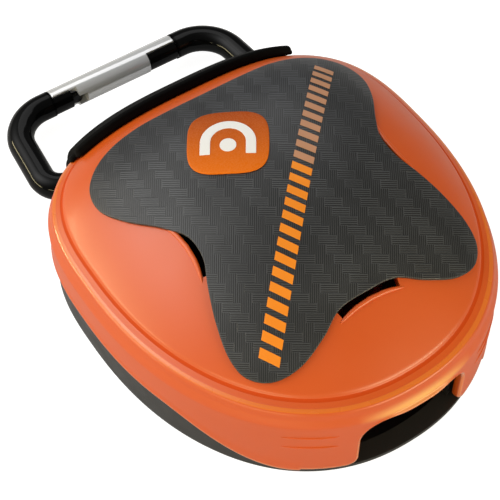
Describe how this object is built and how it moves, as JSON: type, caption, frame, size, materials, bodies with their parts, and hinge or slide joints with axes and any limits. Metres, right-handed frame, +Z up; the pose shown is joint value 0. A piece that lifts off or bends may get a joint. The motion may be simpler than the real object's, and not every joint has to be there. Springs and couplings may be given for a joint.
{
  "type": "mouthguard with hinged carrying case",
  "caption": "Egg-shaped hinged case with a domed lid, a lobed inlay, vent slots and a front finger notch; holds an arch-shaped mouthguard and carries a sprung carabiner.",
  "frame": {"origin": "middle of the flat underside of the base, on the surface that the case rests on", "axes": "+Z up, -Y towards the finger notch at the front, +Y towards the hinge and the carabiner, +X to the right along the hinge"},
  "size_m": [0.0892, 0.1275, 0.0451],
  "materials": {
    "base_plastic": "dark grey satin moulded plastic",
    "lid_plastic": "orange glossy moulded plastic",
    "inlay_carbon": "woven carbon-look film on a moulded panel",
    "badge_print": "printed orange badge",
    "hinge_plastic": "black satin plastic",
    "pin_steel": "plain steel",
    "link_enamel": "gloss black enamel",
    "gate_chrome": "polished",
    "guard_rubber": "satin thermoplastic rubber",
    "guard_gel": "soft gel"
  },
  "bodies": {
    "base": {"base_tray": "base_plastic", "hinge_pin": "pin_steel"},
    "lid": {"lid_shell": "lid_plastic", "carbon_inlay": "inlay_carbon", "inlay_badge": "badge_print", "hinge_leaf": "hinge_plastic", "leaf_rivet_left": "pin_steel", "leaf_rivet_right": "pin_steel"},
    "carabiner": {"carabiner_frame": "link_enamel", "gate_rivet": "pin_steel"},
    "gate": {"gate_sleeve": "gate_chrome", "gate_latch_tip": "link_enamel", "gate_spring": "pin_steel", "gate_plunger": "pin_steel"},
    "mouthguard": {"mouthguard_tray": "guard_rubber", "mouthguard_liner": "guard_gel"}
  },
  "joints": [
    {"name": "lid_hinge", "type": "hinge", "parent": "base", "child": "lid", "pos_m": [0, 0.0506, 0.0145], "axis": [-1, 0, 0], "range_deg": [0, 105]},
    {"name": "carabiner_swing", "type": "hinge", "parent": "base", "child": "carabiner", "pos_m": [0, 0.0513, 0.0056], "axis": [1, 0, 0], "range_deg": [-60, 15]},
    {"name": "gate_pivot", "type": "hinge", "parent": "carabiner", "child": "gate", "pos_m": [-0.0114, 0.0766, 0.0056], "axis": [0, 0, -1], "range_deg": [0, 28], "stiffness_Nm_per_rad": 0.02, "springref_deg": -11.46},
    {"name": "mouthguard_lift", "type": "slide", "parent": "base", "child": "mouthguard", "axis": [0, 0, 1], "range_m": [0, 0.0035]}
  ]
}
